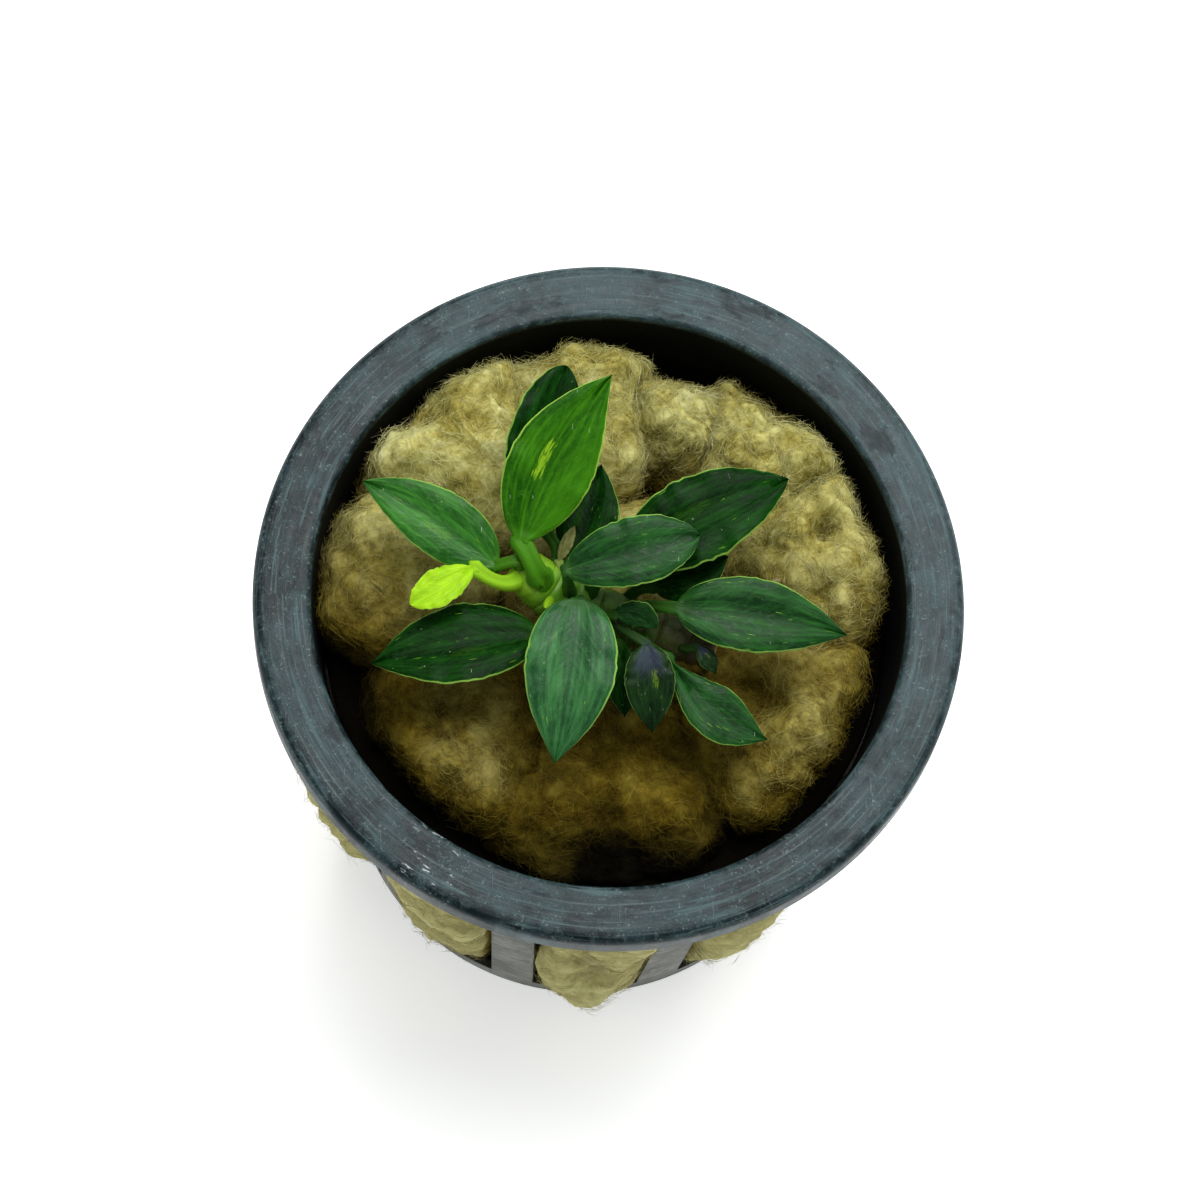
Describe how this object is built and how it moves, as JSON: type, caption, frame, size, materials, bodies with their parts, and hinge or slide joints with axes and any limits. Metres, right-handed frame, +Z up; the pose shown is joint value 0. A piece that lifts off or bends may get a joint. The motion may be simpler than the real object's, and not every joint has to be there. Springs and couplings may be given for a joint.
{
  "type": "potted anubias plant",
  "caption": "Small creeping aquarium plant with oval leaves, rooted in mineral wool that fills a slotted plastic net pot.",
  "frame": {"origin": "centre of the pot's base, on the surface that it stands on", "axes": "+Z up along the pot's axis, +X to the right and +Y to the back as the plant is usually seen"},
  "size_m": [0.056, 0.056, 0.0631],
  "materials": {
    "pot_plastic": "black moulded plastic, scuffed on the rim",
    "rock_wool": "damp golden-brown mineral wool fibre",
    "rhizome_skin": "fleshy green-brown creeping stem",
    "leaf_green": "dark green leathery leaf with light flecks and a pale margin",
    "leaf_young": "bright young leaf",
    "dry_sheath": "dry papery leaf sheath",
    "root_skin": "thin brown root"
  },
  "bodies": {
    "root": {"net_pot": "pot_plastic", "wool_core": "rock_wool", "wool_front": "rock_wool", "wool_left_front": "rock_wool", "wool_left": "rock_wool", "wool_back_left": "rock_wool", "wool_back": "rock_wool", "wool_roll": "rock_wool", "wool_back_right": "rock_wool", "wool_right": "rock_wool", "wool_right_front": "rock_wool", "wool_middle": "rock_wool", "rhizome": "rhizome_skin", "leaf_bright": "leaf_young", "leaf_back": "leaf_green", "leaf_back_shaded": "leaf_green", "leaf_left_upper": "leaf_green", "leaf_new": "leaf_young", "leaf_left_lower": "leaf_green", "leaf_front": "leaf_green", "leaf_centre": "leaf_green", "leaf_right_upper": "leaf_green", "leaf_right_hidden": "leaf_green", "leaf_right": "leaf_green", "leaf_curled": "leaf_green", "leaf_small_front": "leaf_green", "leaf_right_front": "leaf_green", "leaf_narrow": "leaf_green", "leaf_front_low": "leaf_green", "leaf_sheath": "dry_sheath", "bud": "leaf_young", "root_back": "root_skin", "root_right": "root_skin", "root_front": "root_skin"}
  },
  "joints": []
}
